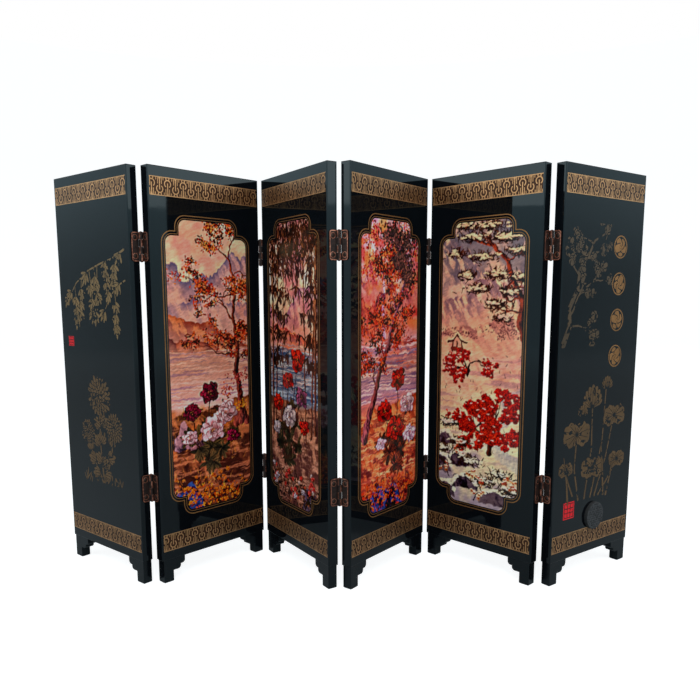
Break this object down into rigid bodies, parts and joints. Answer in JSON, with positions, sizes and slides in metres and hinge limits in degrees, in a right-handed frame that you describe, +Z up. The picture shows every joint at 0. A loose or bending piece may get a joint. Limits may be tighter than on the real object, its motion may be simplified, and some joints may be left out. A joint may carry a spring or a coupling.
{
  "type": "folding screen",
  "caption": "Tabletop folding screen of lacquered panels on bracket feet, joined by small butt hinges so it folds flat or stands in a zigzag.",
  "frame": {"origin": "on the floor, under the middle of the bounding box", "axes": "+X along the row of panels, from the first to the last; +Y back from the picture side; +Z up"},
  "size_m": [0.3592, 0.0674, 0.24],
  "materials": {
    "lacquered_board": "polished black-green lacquer with printed pictures, gold lines and gold fret bands",
    "lacquered_foot": "satin black lacquer",
    "antique_copper": "antique copper plating, dark in the recesses and bright on the rims",
    "pin_copper": "antique copper plating",
    "dark_screw": "blackened copper plating",
    "pad_plastic": "matte charcoal, finely pitted"
  },
  "bodies": {
    "panel_3": {"panel_3_board": "lacquered_board", "panel_3_left_foot": "lacquered_foot", "panel_3_right_foot": "lacquered_foot", "fold_2_lower_hinge_right_leaf": "antique_copper", "fold_2_upper_hinge_right_leaf": "antique_copper", "fold_2_right_hinge_screws": "dark_screw", "fold_3_lower_hinge_left_leaf": "antique_copper", "fold_3_lower_hinge_pin": "pin_copper", "fold_3_upper_hinge_left_leaf": "antique_copper", "fold_3_upper_hinge_pin": "pin_copper", "fold_3_left_hinge_screws": "dark_screw"},
    "panel_1": {"panel_1_board": "lacquered_board", "panel_1_left_foot": "lacquered_foot", "panel_1_right_foot": "lacquered_foot", "fold_1_lower_hinge_left_leaf": "antique_copper", "fold_1_lower_hinge_pin": "pin_copper", "fold_1_upper_hinge_left_leaf": "antique_copper", "fold_1_upper_hinge_pin": "pin_copper", "fold_1_left_hinge_screws": "dark_screw"},
    "panel_2": {"panel_2_board": "lacquered_board", "panel_2_left_foot": "lacquered_foot", "panel_2_right_foot": "lacquered_foot", "fold_1_lower_hinge_right_leaf": "antique_copper", "fold_1_upper_hinge_right_leaf": "antique_copper", "fold_1_right_hinge_screws": "dark_screw", "fold_2_lower_hinge_left_leaf": "antique_copper", "fold_2_lower_hinge_pin": "pin_copper", "fold_2_upper_hinge_left_leaf": "antique_copper", "fold_2_upper_hinge_pin": "pin_copper", "fold_2_left_hinge_screws": "dark_screw"},
    "panel_4": {"panel_4_board": "lacquered_board", "panel_4_left_foot": "lacquered_foot", "panel_4_right_foot": "lacquered_foot", "fold_3_lower_hinge_right_leaf": "antique_copper", "fold_3_upper_hinge_right_leaf": "antique_copper", "fold_3_right_hinge_screws": "dark_screw", "fold_4_lower_hinge_left_leaf": "antique_copper", "fold_4_lower_hinge_pin": "pin_copper", "fold_4_upper_hinge_left_leaf": "antique_copper", "fold_4_upper_hinge_pin": "pin_copper", "fold_4_left_hinge_screws": "dark_screw"},
    "panel_5": {"panel_5_board": "lacquered_board", "panel_5_left_foot": "lacquered_foot", "panel_5_right_foot": "lacquered_foot", "fold_4_lower_hinge_right_leaf": "antique_copper", "fold_4_upper_hinge_right_leaf": "antique_copper", "fold_4_right_hinge_screws": "dark_screw", "fold_5_lower_hinge_left_leaf": "antique_copper", "fold_5_lower_hinge_pin": "pin_copper", "fold_5_upper_hinge_left_leaf": "antique_copper", "fold_5_upper_hinge_pin": "pin_copper", "fold_5_left_hinge_screws": "dark_screw"},
    "panel_6": {"panel_6_board": "lacquered_board", "panel_6_left_foot": "lacquered_foot", "panel_6_right_foot": "lacquered_foot", "fold_5_lower_hinge_right_leaf": "antique_copper", "fold_5_upper_hinge_right_leaf": "antique_copper", "fold_5_right_hinge_screws": "dark_screw", "round_pad": "pad_plastic"}
  },
  "joints": [
    {"name": "fold_1", "type": "hinge", "parent": "panel_2", "child": "panel_1", "pos_m": [-0.11267, -0.02644, 0], "axis": [0, 0, 1], "range_deg": [-93.5, 86.5]},
    {"name": "fold_2", "type": "hinge", "parent": "panel_3", "child": "panel_2", "pos_m": [-0.05516, 0.02965, 0], "axis": [0, 0, -1], "range_deg": [-76.5, 103.5]},
    {"name": "fold_3", "type": "hinge", "parent": "panel_3", "child": "panel_4", "pos_m": [-0.00224, -0.03078, 0], "axis": [0, 0, -1], "range_deg": [-72, 108]},
    {"name": "fold_4", "type": "hinge", "parent": "panel_4", "child": "panel_5", "pos_m": [0.05069, 0.02965, 0], "axis": [0, 0, 1], "range_deg": [-83, 97]},
    {"name": "fold_5", "type": "hinge", "parent": "panel_5", "child": "panel_6", "pos_m": [0.11418, -0.01957, 0], "axis": [0, 0, -1], "range_deg": [-98, 82]}
  ]
}
